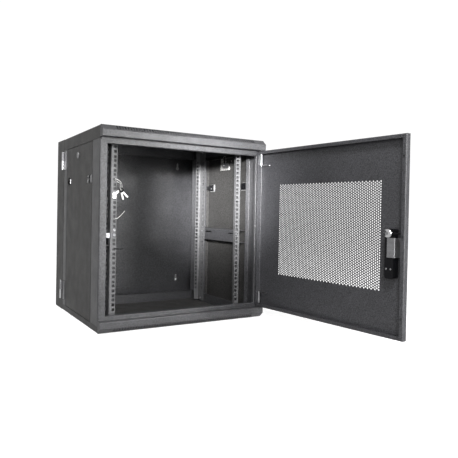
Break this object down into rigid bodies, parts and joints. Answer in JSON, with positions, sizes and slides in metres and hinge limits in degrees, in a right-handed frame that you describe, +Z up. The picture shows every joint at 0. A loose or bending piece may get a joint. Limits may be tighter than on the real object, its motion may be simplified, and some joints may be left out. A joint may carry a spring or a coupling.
{
  "type": "wall mount network rack cabinet",
  "caption": "Swing-out wall rack cabinet for 19 inch equipment: perforated front door, lift-off side panels, square-hole rails and a hinged wall section.",
  "frame": {"origin": "middle of the footprint, on the underside of the bottom panel", "axes": "+Z up, +Y from the door side to the wall side, +X to the right seen from the front"},
  "size_m": [0.6835, 1.1265, 0.635],
  "materials": {
    "powder_black": "fine-textured dark grey powder coat, semi-gloss",
    "door_paint": "fine-textured dark grey powder coat, semi-gloss",
    "side_black": "fine-textured dark grey powder coat",
    "rail_paint": "smooth grey powder coat",
    "zinc": "bright zinc plate",
    "chrome": "polished chrome plate",
    "lock_black": "satin black",
    "key_steel": "nickel-plated steel",
    "tie_white": "natural nylon"
  },
  "bodies": {
    "wall_section": {"rear_shell": "side_black", "back_panel": "powder_black", "wall_hinge_upper": "chrome", "wall_hinge_lower": "chrome", "hinge_pin_upper": "chrome", "hinge_pin_lower": "chrome"},
    "main_body": {"top_panel": "side_black", "bottom_panel": "side_black", "top_fascia": "powder_black", "bottom_fascia": "powder_black", "front_frame": "powder_black", "rear_frame": "powder_black", "body_hinge_upper": "zinc", "body_hinge_lower": "zinc", "rail_front_left": "rail_paint", "rail_front_right": "rail_paint", "rail_rear_left": "rail_paint", "rail_rear_right": "rail_paint", "channel_top_left": "powder_black", "channel_top_right": "powder_black", "channel_bottom_left": "powder_black", "channel_bottom_right": "powder_black", "mid_beam_left": "powder_black", "mid_beam_right": "powder_black", "beam_screw_front": "zinc", "beam_screw_rear": "zinc", "key_tie": "tie_white"},
    "front_door": {"door_panel": "door_paint", "door_mesh": "door_paint", "handle_base": "lock_black", "lock_case": "lock_black", "lock_strap": "zinc", "case_screw_left": "zinc", "case_screw_right": "zinc", "hinge_housing_upper": "zinc", "hinge_housing_lower": "zinc"},
    "upper_pin": {"door_pin_upper": "chrome"},
    "lower_pin": {"door_pin_lower": "chrome"},
    "latch": {"latch_spindle": "zinc", "latch_cam": "lock_black", "cam_nut": "chrome"},
    "lever": {"handle_lever": "lock_black"},
    "barrel": {"lock_barrel": "chrome"},
    "panel_left": {"side_panel_left": "side_black"},
    "panel_right": {"side_panel_right": "side_black"},
    "panel_lock_left": {"side_barrel_left": "zinc", "side_cam_left": "zinc"},
    "panel_lock_right": {"side_barrel_right": "zinc", "side_cam_right": "zinc"},
    "catch_front_left": {"side_latch_front_left": "lock_black"},
    "catch_rear_left": {"side_latch_rear_left": "lock_black"},
    "catch_front_right": {"side_latch_front_right": "lock_black"},
    "catch_rear_right": {"side_latch_rear_right": "lock_black"},
    "section_lock": {"section_barrel": "zinc", "section_cam": "zinc"},
    "keys": {"key_ring": "key_steel", "key_a": "key_steel", "key_b": "key_steel", "key_c": "key_steel"}
  },
  "joints": [
    {"name": "main_body_swing", "type": "hinge", "parent": "wall_section", "child": "main_body", "pos_m": [-0.3058, 0.175, 0.3175], "axis": [0, 0, 1], "range_deg": [-90, 0]},
    {"name": "front_door_swing", "type": "hinge", "parent": "main_body", "child": "front_door", "pos_m": [0.2895, -0.264, 0.3175], "axis": [0, 0, 1], "range_deg": [-95.75, 84.25]},
    {"name": "upper_pin_draw", "type": "slide", "parent": "front_door", "child": "upper_pin", "axis": [0, 0, 1], "range_m": [-0.01, 0], "stiffness_N_per_m": 300, "springref_m": 0.005},
    {"name": "lower_pin_draw", "type": "slide", "parent": "front_door", "child": "lower_pin", "axis": [0, 0, 1], "range_m": [0, 0.01], "stiffness_N_per_m": 300, "springref_m": -0.005},
    {"name": "latch_turn", "type": "hinge", "parent": "front_door", "child": "latch", "pos_m": [0.35518, -0.80645, 0.3275], "axis": [-0.995, -0.1002, 0], "range_deg": [-90, 0]},
    {"name": "lever_lift", "type": "hinge", "parent": "latch", "child": "lever", "pos_m": [0.36562, -0.8054, 0.3275], "axis": [0.1002, -0.995, 0], "range_deg": [0, 45]},
    {"name": "barrel_turn", "type": "hinge", "parent": "front_door", "child": "barrel", "pos_m": [0.35518, -0.80645, 0.23], "axis": [-0.995, -0.1002, 0], "range_deg": [0, 90]},
    {"name": "panel_left_pull", "type": "slide", "parent": "main_body", "child": "panel_left", "axis": [-1, 0, 0], "range_m": [0, 0.06]},
    {"name": "panel_lock_left_turn", "type": "hinge", "parent": "panel_left", "child": "panel_lock_left", "pos_m": [-0.3, -0.0141, 0.5605], "axis": [1, 0, 0], "range_deg": [-90, 0]},
    {"name": "catch_front_left_slide", "type": "slide", "parent": "panel_left", "child": "catch_front_left", "axis": [0, 1, 0], "range_m": [0, 0.006], "stiffness_N_per_m": 400, "springref_m": -0.005},
    {"name": "catch_rear_left_slide", "type": "slide", "parent": "panel_left", "child": "catch_rear_left", "axis": [0, -1, 0], "range_m": [0, 0.006], "stiffness_N_per_m": 400, "springref_m": -0.005},
    {"name": "panel_right_pull", "type": "slide", "parent": "main_body", "child": "panel_right", "axis": [1, 0, 0], "range_m": [0, 0.06]},
    {"name": "panel_lock_right_turn", "type": "hinge", "parent": "panel_right", "child": "panel_lock_right", "pos_m": [0.3, -0.0141, 0.5605], "axis": [1, 0, 0], "range_deg": [-90, 0]},
    {"name": "catch_front_right_slide", "type": "slide", "parent": "panel_right", "child": "catch_front_right", "axis": [0, 1, 0], "range_m": [0, 0.006], "stiffness_N_per_m": 400, "springref_m": -0.005},
    {"name": "catch_rear_right_slide", "type": "slide", "parent": "panel_right", "child": "catch_rear_right", "axis": [0, -1, 0], "range_m": [0, 0.006], "stiffness_N_per_m": 400, "springref_m": -0.005},
    {"name": "section_lock_turn", "type": "hinge", "parent": "main_body", "child": "section_lock", "pos_m": [0.3, 0.152, 0.3175], "axis": [1, 0, 0], "range_deg": [-90, 0]},
    {"name": "keys_swing", "type": "hinge", "parent": "main_body", "child": "keys", "pos_m": [-0.21539, -0.206, 0.46265], "axis": [0, 1, 0], "range_deg": [-6, 12]}
  ]
}
